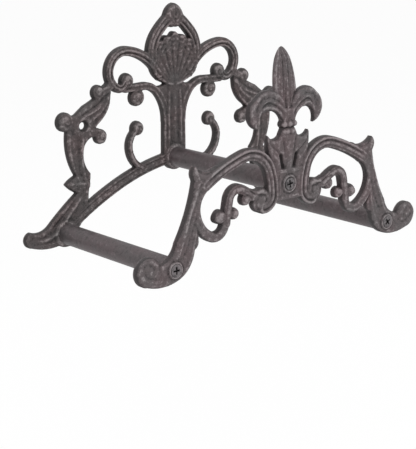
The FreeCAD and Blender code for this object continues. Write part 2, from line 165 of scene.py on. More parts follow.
class Chain:
    """A line of tangent arcs from a start through each stop, with the distance of any point from it."""

    def __init__(self, start: Point, towards: Point, stops: tuple[Point, ...]) -> None:
        """Works out each arc from the heading that the last one ends with.

        Args:
            start: First point.
            towards: A point that the line heads to from its start.
            stops: End of each arc.
        """
        place = np.array(start, float)
        heading = np.array(towards, float) - place
        heading /= np.hypot(*heading)
        self.spans: list[tuple[Array, Array, float, float]] = []
        self.length = 0.0
        points = [place]
        for stop in stops:
            chord = np.array(stop, float) - place
            turn = 2.0 * math.atan2(
                heading[0] * chord[1] - heading[1] * chord[0], float(chord @ heading)
            )
            if abs(turn) < LEAST_TURN:
                turn = LEAST_TURN
            radius = float(np.hypot(*chord)) / (2.0 * math.sin(turn / 2.0))
            self.spans.append((place, heading, radius, turn))
            self.length += radius * turn
            cosine, sine = math.cos(turn), math.sin(turn)
            heading = np.array(
                (heading[0] * cosine - heading[1] * sine, heading[0] * sine + heading[1] * cosine)
            )
            place = place + chord
            points.append(place)
        bulge = 0.25 * self.length / len(stops)
        self.low = np.min(points, axis=0) - bulge
        self.high = np.max(points, axis=0) + bulge

    def measure(self, across: Array, up: Array) -> tuple[Array, Array, Array]:
        """Where points lie beside the line.

        On an arc, the distance is the difference between the point's distance from the centre and the
        radius, as far as the arc sweeps, and past its ends it is the distance from the end point.

        Args:
            across: Points, across.
            up: Points, up.

        Returns:
            Distance from the line, share of the line's length passed, and signed offset to its left.
        """
        best = np.full(across.shape, np.inf)
        passed = np.zeros(across.shape)
        offset = np.zeros(across.shape)
        done = 0.0
        for place, heading, radius, turn in self.spans:
            left = np.array((-heading[1], heading[0]))
            centre = place + left * radius
            away_x = across - centre[0]
            away_z = up - centre[1]
            spread = np.hypot(away_x, away_z)
            sign = math.copysign(1.0, turn)
            first = math.atan2(place[1] - centre[1], place[0] - centre[0])
            swept = (np.arctan2(away_z, away_x) - first) * sign + math.pi - abs(turn) / 2.0
            swept = np.mod(swept, FULL_TURN) - math.pi + abs(turn) / 2.0
            held = np.clip(swept, 0.0, abs(turn))
            angle = first + sign * held
            gap = np.hypot(
                across - centre[0] - abs(radius) * np.cos(angle), up - centre[1] - abs(radius) * np.sin(angle)
            )
            nearer = gap < best
            best = np.where(nearer, gap, best)
            passed = np.where(nearer, done + abs(radius) * held, passed)
            side = np.where(spread < abs(radius), sign, -sign)
            offset = np.where(nearer, gap * side, offset)
            done += abs(radius * turn)
        return best, passed / done, offset


class Edge(Enum):
    """How a band is moulded along its length."""

    PLAIN = "rounded over"
    GROOVED = "a groove inside each edge"
    BEADED = "a bead along its left edge, a groove beside it"
    HOLLOW = "a hollow between two beads"


@dataclass
class Band:
    """A scroll: a moulded strip along a chain of arcs, which may taper."""

    start: Point
    towards: Point
    stops: tuple[Point, ...]
    width: float
    end_width: float = 0.0
    height: float = 7.8
    wall: float = 4.4
    edge: Edge = Edge.GROOVED
    flip: float = 1.0
    radius: float = 2.8

    def __post_init__(self) -> None:
        """Works out the line that the strip follows."""
        self.line = Chain(self.start, self.towards, self.stops)
        room = max(self.width, self.end_width) / 2.0 + BOX_ROOM
        self.low = self.line.low - room
        self.high = self.line.high + room

    def field(self, across: Array, up: Array) -> tuple[Array, Array]:
        """The strip's inside distance and height.

        The inside distance is half the width less the distance from the line. The height is a rounded
        shoulder, and the moulding adds ridges and takes out grooves by the offset over half the width.

        Args:
            across: Points, across.
            up: Points, up.

        Returns:
            Distance in from the edge, negative outside, and height over the flat back.
        """
        gap, passed, offset = self.line.measure(across, up)
        end_width = self.end_width or self.width
        half = (self.width + (end_width - self.width) * passed) / 2.0
        inside = half - gap
        rise = shoulder(inside, self.radius, self.wall, self.height)
        side = self.flip * offset / half
        if self.edge is Edge.GROOVED:
            rise += 0.45 * (1.0 - side * side) - 1.1 * bump(np.abs(side) - 0.52, 0.14)
        elif self.edge is Edge.BEADED:
            rise += 0.45 * bump(side - 0.7, 0.2) - 1.4 * bump(side - 0.34, 0.2)
            rise += 0.3 * bump(side + 0.1, 0.25) - 1.0 * bump(side + 0.5, 0.14)
        elif self.edge is Edge.HOLLOW:
            rise += 0.3 * bump(np.abs(side) - 0.7, 0.2) - 0.9 * bump(side, 0.5)
        return inside, np.where(inside > 0.0, rise, np.minimum(rise, self.height))


def outline_points(start: Point, runs: tuple, pieces: int = 14) -> Array:
    """A closed outline of lines and arcs as a ring of points.

    Args:
        start: First point.
        runs: A point for a line, or a pair of points for an arc through the first to the second.
        pieces: Points on each arc.

    Returns:
        The ring, one row per point.
    """
    ring = [np.array([start], float)]
    place = np.array(start, float)
    for run in runs:
        if not isinstance(run[0], tuple):
            place = np.array(run, float)
            ring.append(place[None])
            continue
        through, end = (np.array(spot, float) for spot in run)
        matrix = 2.0 * np.array((through - place, end - place))
        square = place @ place
        centre = np.linalg.solve(matrix, np.array((through @ through - square, end @ end - square)))
        first, middle, last = (math.atan2(*(spot - centre)[::-1]) for spot in (place, through, end))
        sweep = (last - first) % FULL_TURN
        if (middle - first) % FULL_TURN > sweep:
            sweep -= FULL_TURN
        angles = first + sweep * np.arange(1, pieces + 1) / pieces
        radius = np.hypot(*(place - centre))
        ring.append(centre + radius * np.column_stack((np.cos(angles), np.sin(angles))))
        place = end
    return np.concatenate(ring)


@dataclass
class Blade:
    """A leaf, arm or pad: a closed outline raised to a face with a rounded edge."""

    start: Point
    runs: tuple
    height: float = 5.0
    wall: float = 3.4
    radius: float = 2.2
    crown: float = 0.0
    crown_reach: float = 9.0

    def __post_init__(self) -> None:
        """Works out the ring of outline points."""
        self.ring = outline_points(self.start, self.runs)
        self.low = self.ring.min(axis=0) - BOX_ROOM
        self.high = self.ring.max(axis=0) + BOX_ROOM

    def field(self, across: Array, up: Array) -> tuple[Array, Array]:
        """The leaf's inside distance and height.

        The inside distance is the distance to the nearest side of the ring, positive where a line to the
        right crosses the ring an odd number of times. The crown adds to the height with that distance.

        Args:
            across: Points, across.
            up: Points, up.

        Returns:
            Distance in from the edge, negative outside, and height over the flat back.
        """
        nearest = np.full(across.shape, np.inf)
        odd = np.zeros(across.shape, bool)
        for (ax, az), (bx, bz) in zip(self.ring, np.roll(self.ring, -1, axis=0)):
            run_x, run_z = bx - ax, bz - az
            span = run_x * run_x + run_z * run_z
            if span < SAME_PLACE:
                continue
            share = np.clip(((across - ax) * run_x + (up - az) * run_z) / span, 0.0, 1.0)
            nearest = np.minimum(nearest, (across - ax - share * run_x) ** 2 + (up - az - share * run_z) ** 2)
            if run_z != 0.0:
                crosses = (up >= min(az, bz)) & (up < max(az, bz))
                odd ^= crosses & (across < ax + (up - az) * run_x / run_z)
        inside = np.where(odd, 1.0, -1.0) * np.sqrt(nearest)
        rise = shoulder(inside, self.radius, self.wall, self.height)
        return inside, rise + self.crown * np.clip(inside / self.crown_reach, 0.0, 1.0)


@dataclass
class Ball:
    """The round end of a scroll, with a swirl cut into it."""

    centre: Point
    radius: float
    height: float = 8.4
    wall: float = 2.8
    turn: float = 1.0
    begin: float = 0.0
    swirl: float = 0.9

    def __post_init__(self) -> None:
        """Sets the square that the ball lies in."""
        self.low = np.array(self.centre) - self.radius - BOX_ROOM
        self.high = np.array(self.centre) + self.radius + BOX_ROOM

    def field(self, across: Array, up: Array) -> tuple[Array, Array]:
        """The ball's inside distance and height.

        The height is a quarter of an ellipse over the radius, less a groove along a spiral that opens from
        a fifth to nine tenths of the radius in one turn.

        Args:
            across: Points, across.
            up: Points, up.

        Returns:
            Distance in from the edge, negative outside, and height over the flat back.
        """
        away_x = across - self.centre[0]
        away_z = up - self.centre[1]
        spread = np.hypot(away_x, away_z)
        inside = self.radius - spread
        rise = shoulder(inside, self.radius * 0.92, self.wall, self.height)
        angle = np.mod(self.turn * np.arctan2(away_z, away_x) - self.begin, FULL_TURN) / FULL_TURN
        groove = bump(spread / self.radius - (0.22 + 0.68 * angle), 0.11)
        return inside, rise - self.swirl * groove


@dataclass
class Shell:
    """A scallop shell: flutes that fan out from its root to a scalloped edge."""

    root: Point
    length: float
    fan: float
    flutes: int
    side_loss: float = 0.42
    scallop: float = 0.022
    low_face: float = 5.6
    high_face: float = 7.6

    def __post_init__(self) -> None:
        """Sets the box that the shell lies in."""
        self.low = np.array((-self.length, self.root[1] - 8.0))
        self.high = np.array((self.length, self.root[1] + self.length + 6.0))

    def field(self, across: Array, up: Array) -> tuple[Array, Array]:
        """The shell's inside distance and height.

        By the angle from upright, the edge is the length, less a share that grows with the angle, plus a
        scallop over each flute and a peak in the middle. Each flute's height is half a wave of that angle.
        Towards the edge the flutes break up into rows of lumps, waves of the angle times waves of the
        distance from the root.

        Args:
            across: Points, across.
            up: Points, up.

        Returns:
            Distance in from the edge, negative outside, and height over the flat back.
        """
        spread = np.hypot(across - self.root[0], up - self.root[1])
        angle = np.arctan2(across - self.root[0], up - self.root[1])
        fan = math.radians(self.fan)
        step = 2.0 * fan / (self.flutes - 1)
        wave = np.abs(np.cos(math.pi * angle / step))
        wander = 0.5 * np.sin(9.1 * angle + 0.6) + 0.25 * np.sin(23.0 * angle)
        far = self.length * (1.0 - self.side_loss * np.abs(angle / fan) ** 3.0)
        far = far * (1.0 - self.scallop * (1.0 - wave) * 2.0) + wander + 2.0 * bump(angle, 0.07)
        inside = np.minimum(far - spread, (fan + 0.52 * step - np.abs(angle)) * np.maximum(spread, 4.0))
        share = np.clip(spread / np.maximum(far, 1.0), 0.0, 1.0)
        face = self.low_face + (self.high_face - self.low_face) * share**0.8
        rise = shoulder(inside, 1.8, 5.8, 8.0) - 8.0 + face
        rough = np.clip((share - 0.6) / 0.25, 0.0, 1.0)
        rise += (1.5 * wave**0.6 - 1.15) * np.clip(share * 1.5, 0.0, 1.0) * (1.0 - 0.5 * rough)
        lumps = 0.4 * np.sin(1.3 * spread) * np.sin(27.0 * angle) + 0.2 * np.sin(41.0 * angle + spread)
        rise += rough * lumps
        return inside, rise


@dataclass
class Crease:
    """A raised or sunk line on a face, along a chain of arcs, fading out to its ends."""

    start: Point
    towards: Point
    stops: tuple[Point, ...]
    width: float
    lift: float
    fade: float = 0.12

    def __post_init__(self) -> None:
        """Works out the line, and a box that leaves room for three widths of the ridge."""
        self.line = Chain(self.start, self.towards, self.stops)
        self.low = self.line.low - 3.0 * self.width
        self.high = self.line.high + 3.0 * self.width

    def lift_at(self, across: Array, up: Array) -> Array:
        """The height that the line adds: its lift times a smooth ridge of the distance, faded to both ends.

        Args:
            across: Points, across.
            up: Points, up.

        Returns:
            The height to add at each point.
        """
        gap, passed, _ = self.line.measure(across, up)
        ends = np.clip(np.minimum(passed, 1.0 - passed) / self.fade, 0.0, 1.0)
        return self.lift * bump(gap, self.width) * ends


@dataclass(frozen=True)
class Hole:
    """A round hole right through a casting, with a soft rim and, where it takes a screw head, a boss."""

    centre: Point
    radius: float
    boss: float = 0.0
    boss_rise: float = 8.0
    boss_fade: float = 1.2
    bead: float = 0.5
    rim_dip: float = 0.8

    def cut(self, across: Array, up: Array, inside: Array, rise: Array) -> tuple[Array, Array]:
        """Takes the hole out of a plate.

        The boss is levelled to its own height, with a bead inside its rim and a groove round it, and the
        surface dips at the hole's own rim. The inside distance ends at the hole.

        Args:
            across: Points, across.
            up: Points, up.
            inside: The plate's inside distance there.
            rise: The plate's height there.

        Returns:
            Inside distance and height with the hole in them.
        """
        spread = np.hypot(across - self.centre[0], up - self.centre[1])
        if self.boss:
            level = smooth_step((self.boss - spread) / self.boss_fade)
            rise = rise * (1.0 - level) + self.boss_rise * level
            past_rim = spread - self.boss
            rise = rise + self.bead * (bump(past_rim + 1.6, 0.8) - bump(past_rim - 0.4, 0.7))
        rise = rise - self.rim_dip * bump(spread - self.radius, 0.8)
        return np.minimum(inside, spread - self.radius), rise


@dataclass
class Surface:
    """A mesh as arrays: points in metres, quads of point numbers, and a value per point for rubbed wear with
    painted highlight and painted shade.
    """

    points: Array
    quads: Array
    wear_and_light: Array

    def joined(self, other: "Surface") -> "Surface":
        """Both surfaces as one, the other's point numbers moved past this one's."""
        return Surface(
            np.concatenate((self.points, other.points)),
            np.concatenate((self.quads, other.quads + len(self.points))),
            np.concatenate((self.wear_and_light, other.wear_and_light)),
        )

    def piece(self, name: str, sharp: float, same_place: float = 1e-7) -> bpy.types.Object:
        """Puts the arrays into a mesh object.

        Args:
            name: The piece's name.
            sharp: Edges that fold by more than this angle, in degrees, stay sharp.
            same_place: Points nearer than this, in metres, are merged.

        Returns:
            The object, at the origin, with points in one place merged and the wear and painted light value as
            their attribute.
        """
        mesh = bpy.data.meshes.new(name)
        mesh.vertices.add(len(self.points))
        mesh.vertices.foreach_set("co", self.points.astype(np.float32).ravel())
        mesh.loops.add(self.quads.size)
        mesh.loops.foreach_set("vertex_index", self.quads.astype(np.int32).ravel())
        mesh.polygons.add(len(self.quads))
        mesh.polygons.foreach_set("loop_start", np.arange(0, self.quads.size, 4, dtype=np.int32))
        mesh.update(calc_edges=True)
        worn_and_lit = mesh.attributes.new(WEAR_AND_LIGHT, "FLOAT", "POINT")
        worn_and_lit.data.foreach_set("value", self.wear_and_light.astype(np.float32))
        shape = bmesh.new()
        shape.from_mesh(mesh)
        bmesh.ops.remove_doubles(shape, verts=shape.verts, dist=same_place)
        shape.to_mesh(mesh)
        shape.free()
        mesh.validate()
        mesh.polygons.foreach_set("use_smooth", np.ones(len(mesh.polygons), bool))
        mesh.set_sharp_from_angle(angle=math.radians(sharp))
        thing = bpy.data.objects.new(name, mesh)
        bpy.context.scene.collection.objects.link(thing)
        return thing


def blurred(values: Array, mask: Array, reach: int) -> Array:
    """The mean of a grid round each point: sums over a square of 2 * reach + 1 points each way.

    Args:
        values: The grid.
        mask: The points that count.
        reach: How many points the square reaches to each side.

    Returns:
        The sum of the masked values in the square, over the number of masked points in it.
    """

    def box(grid: Array) -> Array:
        """The sum over the square, as differences of running sums along each axis."""
        for axis in (0, 1):
            padded = np.concatenate(
                (np.zeros_like(np.take(grid, [0], axis)), np.cumsum(grid, axis=axis)), axis=axis
            )
            count = grid.shape[axis]
            high = np.minimum(np.arange(count) + reach + 1, count)
            low = np.maximum(np.arange(count) - reach, 0)
            grid = np.take(padded, high, axis) - np.take(padded, low, axis)
        return grid

    weight = mask.astype(float)
    return box(values * weight) / np.maximum(box(weight), 1e-6)


@dataclass
class Piece:
    """A piece of the hanger, which stands for a CAD node."""

    node: str
    slot: str
    fold: float

    def surface(self) -> Surface:
        """The piece's arrays."""
        raise NotImplementedError

    def dress(self, materials: dict[str, bpy.types.Material]) -> None:
        """Makes the piece's mesh, gives it its finish and lets it stand for its node.

        Args:
            materials: The finish of each of the record's material slots.
        """
        piece = self.surface().piece(self.node + "_look", self.fold)
        piece.data.materials.append(materials[self.slot])
        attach(piece, "root")
        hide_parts(self.node)
        LOG.info("%s: %d faces", piece.name, len(piece.data.polygons))


@dataclass
class Casting(Piece):
    """One scrollwork plate, drawn as its right half and mirrored."""

    back_face: float
    half_width: float
    bottom: float
    top: float
    step: float
    holes: tuple[Hole, ...] = ()
    fillet: float = 1.3
    thinnest: float = 2.0
    thickest: float = 8.5
    wave_height: float = 0.13
    wave_pitch: float = 17.0
    sand_height: float = 0.05
    sand_pitch: float = 5.0
    # Reach of that neighbourhood mean, and the value of the flat back, a little darker than the coat.
    wear_and_light_reach: float = 3.0
    back_wear_and_light: float = -0.05
    least_slope: float = 0.2
    slide_reach: float = 0.85

    def forms(self) -> list:
        """The bands, leaves and balls that the plate is made of."""
        raise NotImplementedError

    def lines(self) -> list[Crease]:
        """The ridges and grooves on its faces."""
        raise NotImplementedError

    def set_back(self, across: Array, up: Array) -> Array:
        """How far points lie behind the flat plate, towards the wall."""
        return np.zeros(across.shape)

    def measure(self, across: Array, up: Array) -> tuple[Array, Array]:
        """The whole plate's inside distance and height at points of its right half.

        Args:
            across: Points, across from the mirror line; the left half reads the right one.
            up: Points, up.

        Returns:
            The soft maximum of all forms' inside distances, less the holes, and that of their heights with
            the lines and the mould's unevenness added.
        """
        across = np.abs(across)
        outside = -50.0
        inside = np.full(across.shape, outside)
        rise = np.full(across.shape, outside)

        def near(low: Array, high: Array) -> Array:
            """Which points lie in a box."""
            return (across > low[0]) & (across < high[0]) & (up > low[1]) & (up < high[1])

        for form in self.parts:
            here = near(form.low, form.high)
            if here.any():
                reach, height = form.field(across[here], up[here])
                inside[here] = soft_max(inside[here], reach, self.fillet)
                rise[here] = soft_max(rise[here], height, self.fillet)
        for line in self.marks:
            here = near(line.low, line.high)
            if here.any():
                rise[here] += line.lift_at(across[here], up[here])
        rise += self.wave_height * grain(across, up, self.wave_pitch)
        rise += self.sand_height * grain(up, across, self.sand_pitch)
        for hole in self.holes:
            inside, rise = hole.cut(across, up, inside, rise)
        return inside, rise

    def slid(self, across: Array, up: Array, probe: float = 0.05, slides: int = 4) -> tuple[Array, Array]:
        """Slides points onto the plate's outline.

        Each slide goes along the slope of the inside distance, by that distance over the slope. A point ends
        less than a grid step from where it stood, and one on the mirror line stays there.

        Args:
            across: Points, across.
            up: Points, up.
            probe: How far to each side the slope is measured.
            slides: How many times the points slide.

        Returns:
            The points' new places, across and up.
        """
        px, pz = across, up
        for _ in range(slides):
            value = self.measure(px, pz)[0]
            slope_x = (self.measure(px + probe, pz)[0] - self.measure(px - probe, pz)[0]) / (2.0 * probe)
            slope_z = (self.measure(px, pz + probe)[0] - self.measure(px, pz - probe)[0]) / (2.0 * probe)
            steep = np.maximum(slope_x**2 + slope_z**2, self.least_slope)
            px = px - value * slope_x / steep
            pz = pz - value * slope_z / steep
        reach = self.slide_reach * self.step
        px = np.where(across > 0.0, np.clip(px, across - reach, across + reach), 0.0)
        return px, np.clip(pz, up - reach, up + reach)

    def surface(self) -> Surface:
        """The plate as one closed surface over a square grid.

        A grid cell belongs to the plate where its middle is inside. The points of the cells' rim slide onto
        the outline itself. Each point gives a front point at its height and a back point on the flat back,
        and a wall joins them round the rim.

        Returns:
            The mirrored surface. Its wear and painted light value is the height less the mean height of the
            neighbourhood: ridges get rubbed wear with a painted highlight, and hollows get painted shade.
        """
        self.parts = self.forms()
        self.marks = self.lines()
        xs = np.arange(0.0, self.half_width + self.step, self.step)
        zs = np.arange(self.bottom, self.top + self.step, self.step)
        across, up = np.meshgrid(xs, zs, indexing="ij")
        inside, rise = self.measure(across, up)
        middle = (inside[:-1, :-1] + inside[1:, :-1] + inside[:-1, 1:] + inside[1:, 1:]) / 4.0
        keep = middle > 0.0
        padded = np.pad(keep, 1)
        padded[0, 1:-1] = keep[0]
        count = padded[:-1, :-1].astype(int) + padded[1:, :-1] + padded[:-1, 1:] + padded[1:, 1:]
        used = count > 0
        rim = used & (count < 4)
        across[rim], up[rim] = self.slid(across[rim], up[rim])
        rise[rim] = self.measure(across[rim], up[rim])[1]
        rise = np.clip(rise, self.thinnest, self.thickest)
        # Ridges come out lighter, as rubbed wear and painted highlight; hollows come out darker, as painted
        # shade.
        worn_and_lit = rise - blurred(rise, used, max(2, round(self.wear_and_light_reach / self.step)))

        def whole(grid: Array, sign: float = 1.0) -> Array:
            """The right half's grid with its mirror image before it."""
            return np.concatenate((sign * grid[:0:-1], grid))

        across, up, rise, worn_and_lit = whole(across, -1.0), whole(up), whole(rise), whole(worn_and_lit)
        used = np.concatenate((used[:0:-1], used))
        keep = np.concatenate((keep[::-1], keep))
        total = int(used.sum())
        number = np.full(used.shape, -1)
        number[used] = np.arange(total)
        place_x, place_z = across[used] * MM, (up[used] - HOLE_LINE) * MM
        flat = self.back_face + self.set_back(np.abs(across[used]), up[used])
        front = np.column_stack((place_x, (flat - rise[used]) * MM, place_z))
        back = np.column_stack((place_x, flat * MM, place_z))
        i, j = np.nonzero(keep)
        face = np.column_stack((number[i, j], number[i + 1, j], number[i + 1, j + 1], number[i, j + 1]))
        ring = np.pad(keep, 1)
        walls = []
        for side, (di, dj) in enumerate(((0, -1), (1, 0), (0, 1), (-1, 0))):
            open_side = ~ring[i + 1 + di, j + 1 + dj]
            a, b = face[open_side, side], face[open_side, (side + 1) % 4]
            walls.append(np.column_stack((b, a, a + total, b + total)))
        quads = np.concatenate((face, face[:, ::-1] + total, *walls))
        wear_and_light = np.concatenate((worn_and_lit[used], np.full(total, self.back_wear_and_light)))
        return Surface(np.concatenate((front, back)), quads, wear_and_light)


@dataclass
class BackPlate(Casting):
    """The wall casting: shell, stem, loops and arms."""

    node: str = "back_plate"
    slot: str = "cast_iron"
    fold: float = CAST_FOLD
    back_face: float = 0.0
    half_width: float = 186.0
    bottom: float = 78.0
    top: float = 313.0
    step: float = 0.78
    holes: tuple[Hole, ...] = (
        Hole(WALL_HOLE, 3.75, boss=6.2, boss_rise=3.6),
        Hole(SIDE_SEAT, SEAT_HOLE, boss=12.0),
        Hole(MIDDLE_SEAT, SEAT_HOLE, boss=12.0),
    )

    def forms(self) -> list:
        """The right half's forms, and those that stand on the mirror line."""
        return [
            Band((28.8, 256), (30.0, 263), ((22.6, 280.6), (8.4, 294.6)), 11.2, edge=Edge.BEADED),
            Blade(
                (-3, 287),
                ((0, 287), ((9.6, 289.6), (12.2, 297)), ((9.2, 305), (0, 311)), (-3, 308)),
                7.4, 4.4, 4.6, 0.6,
            ),
            Band(
                (20, 242), (30, 258), ((60, 267), (82, 250), (72, 231), (63, 235)),
                10.6, 8.5, edge=Edge.BEADED, flip=-1.0,
            ),
            Ball((60, 237), 8.0, begin=2.2),
            Band(
                (10.6, 158), (10.6, 170), ((10.8, 192), (20.4, 221), (40, 230), (62, 229.5)),
                7.8, 8.0, 6.6, 4.2, Edge.HOLLOW,
            ),
            Blade(
                (5, 234),
                ((8, 234), ((13, 229.6), (27, 231)), (20, 218), (12, 196), (5, 196)),
                5.4, 3.8, 2.4,
            ),
            Band((79, 237), (83, 232), ((93, 229),), 9.0, 8.0, edge=Edge.PLAIN),
            Ball((47.5, 219.5), 9.0, turn=-1.0, begin=1.0),
            Ball((95, 229), 7.5, begin=2.6),
            Blade(
                (79, 234),
                ((92, 228), ((100.6, 223), (112.6, 217.4)), (126, 207.4), (127, 188), (105, 187), (96, 198),
                 ((87, 206), (81, 218)), (79, 234)),
                5.6, 3.6, 2.4, 0.8,
            ),
            Ball((135, 204), 9.5, turn=-1.0, begin=0.4),
            Band((134, 204), (130, 203.4), ((121, 201.5),), 13.0, 14.0, 6.4, 3.4, Edge.PLAIN),
            Band((94, 185.4), (96.4, 190.8), ((104.4, 190), (117, 174.6)), 10.6, 5.0, 6.4, edge=Edge.PLAIN),
            Ball((93, 185), 7.5, begin=4.0),
            Blade(
                (132, 203),
                (((133.8, 175), (124.5, 150)), (121, 136), (107, 136), (106, 150),
                 ((111, 157), (114.2, 169)), (112, 194)),
                5.4, 3.6,
            ),
            Blade(
                (107, 140),
                (((114, 148.4), (121.5, 150.4)), ((130, 147), (136.4, 142)), ((129.4, 135.6), (121, 131)),
                 (110, 128)),
                6.4, 3.6, 4.5, 1.2,
            ),
            Blade(
                (121, 134),
                (((138.6, 120.4), (156.5, 104.4)), ((166, 99.4), (178, 101)), ((184.5, 95), (177, 85)),
                 ((161, 81.5), (142, 83)), ((119, 100), (109, 134))),
                5.6, 3.6, 2.6, 0.8,
            ),
            Band((0, 153.5), (30, 150), ((74, 133), (128, 103)), 12.0, height=6.5, edge=Edge.GROOVED),
            Band((40, 146), (52, 150), ((58, 170), (49, 186)), 7.5, 6.5, 7.0, edge=Edge.GROOVED),
            Ball((47.5, 188), 7.5, begin=1.0),
            Blade((138, 108), (((151.8, 94), (138, 80.2)), ((124.2, 94), (138, 108))), 8.0, 5.0, 1.6),
            Blade((0, 167.3), (((13.75, 153.5), (0, 139.7)), (-4, 139.7), (-4, 167.3)), 8.0, 5.0, 1.6),
            Blade(
                (-3, 240),
                ((7.5, 240), ((9.0, 222), (13.8, 196)), (13.8, 153.5), (-3, 153.5)),
                5.8, 3.4, 3.0,
            ),
            Shell((0, 225), length=55.0, fan=60.0, flutes=11),
        ]

    def lines(self) -> list[Crease]:
        """Leaf ridges, stem flutes and arm beads."""
        return [
            Crease((83, 230), (84, 220), ((97, 208), (110, 200)), 1.6, 1.1),
            Crease((88, 224), (93, 220), ((106, 213), (118, 208)), 1.1, -0.8),
            Crease((92, 216), (97, 213), ((108, 209), (118, 204)), 1.0, 0.8),
            Crease((84, 217), (87, 209), ((95, 201), (103, 195)), 1.0, 0.9),
            Crease((129, 196), (132, 182), ((128.4, 164), (119.4, 140)), 1.1, 0.6),
            Crease((115, 190), (116.6, 180), ((116, 160), (112, 142)), 1.3, 1.0),
            Crease((120, 190), (121.6, 180), ((120.4, 160), (115, 142)), 1.4, -0.6),
            Crease((111, 141), (120, 142), ((132, 142.5),), 1.5, 1.1),
            Crease((113, 134), (122, 135), ((128, 138),), 1.0, -0.6),
            Crease((116, 132), (126, 121), ((147, 99), (176, 94)), 1.6, 1.5),
            Crease((125, 128), (136, 116), ((156, 100),), 1.0, -0.7),
            Crease((146, 88), (160, 86), ((174, 88),), 1.0, 0.7),
            Crease((0, 160), (0, 180), ((0, 226),), 1.5, 0.6),
            Crease((4.4, 164), (4.5, 180), ((4.2, 224),), 1.0, -0.4),
            Crease((7.6, 168), (7.9, 180), ((7.4, 224),), 1.0, 0.5),
            Crease((10.6, 170), (10.8, 180), ((9.4, 214),), 0.9, -0.3),
            Crease((0, 229), (4, 229), ((12, 231),), 1.3, 1.0, 0.3),
            Crease((0, 292), (4, 293.6), ((7, 300), (0, 306)), 1.0, 0.7),
            Crease((0, 296), (2, 298), ((2.5, 301),), 1.2, 0.9),
        ]


